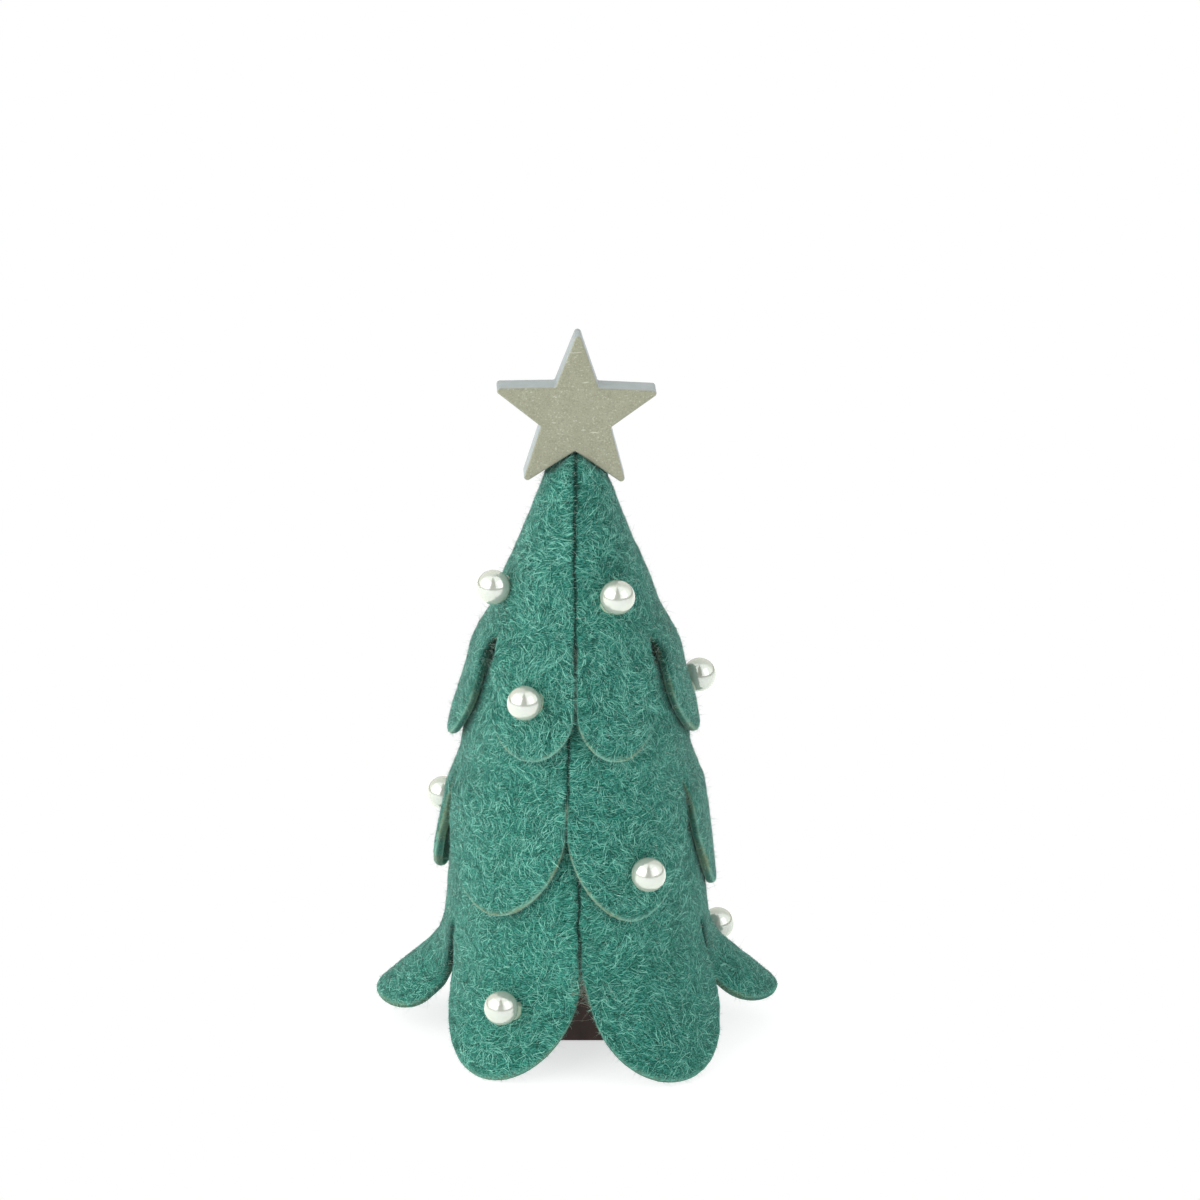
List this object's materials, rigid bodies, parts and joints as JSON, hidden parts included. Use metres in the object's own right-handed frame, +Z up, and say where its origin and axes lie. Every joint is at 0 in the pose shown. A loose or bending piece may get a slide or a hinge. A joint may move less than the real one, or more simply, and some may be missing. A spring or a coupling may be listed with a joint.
{
  "type": "table-top felt christmas tree",
  "caption": "Small standing felt tree: overlapping tiers of rounded tongue petals on a wooden core, pearl beads, a flat wooden star on top and a square wooden trunk.",
  "frame": {"origin": "centre of the bounding box's bottom face, on the surface the tree stands on", "axes": "+Z up through the star, -Y towards the viewer of the picture, +X to the viewer's right"},
  "size_m": [0.0954, 0.079, 0.1701],
  "materials": {
    "felt": "pressed teal wool felt with short loose fibres",
    "pearl": "glossy pearl lacquer",
    "glue": "set clear glue, slightly yellow",
    "star_paint": "champagne silver paint over fine grain",
    "trunk_stain": "dark brown stain",
    "bare_wood": "bare turned wood"
  },
  "bodies": {
    "root": {"star": "star_paint", "star_pin": "bare_wood", "core": "bare_wood", "trunk": "trunk_stain", "trunk_dowel": "bare_wood", "felt_tier_top": "felt", "felt_tier_middle": "felt", "felt_tier_bottom": "felt", "pearl_01": "pearl", "pearl_02": "pearl", "pearl_03": "pearl", "pearl_04": "pearl", "pearl_05": "pearl", "pearl_06": "pearl", "pearl_07": "pearl", "pearl_08": "pearl", "pearl_09": "pearl", "pearl_10": "pearl", "pearl_11": "pearl", "pearl_12": "pearl", "glue_01": "glue", "glue_02": "glue", "glue_03": "glue", "glue_04": "glue", "glue_05": "glue", "glue_06": "glue", "glue_07": "glue", "glue_08": "glue", "glue_09": "glue", "glue_10": "glue", "glue_11": "glue", "glue_12": "glue"}
  },
  "joints": []
}
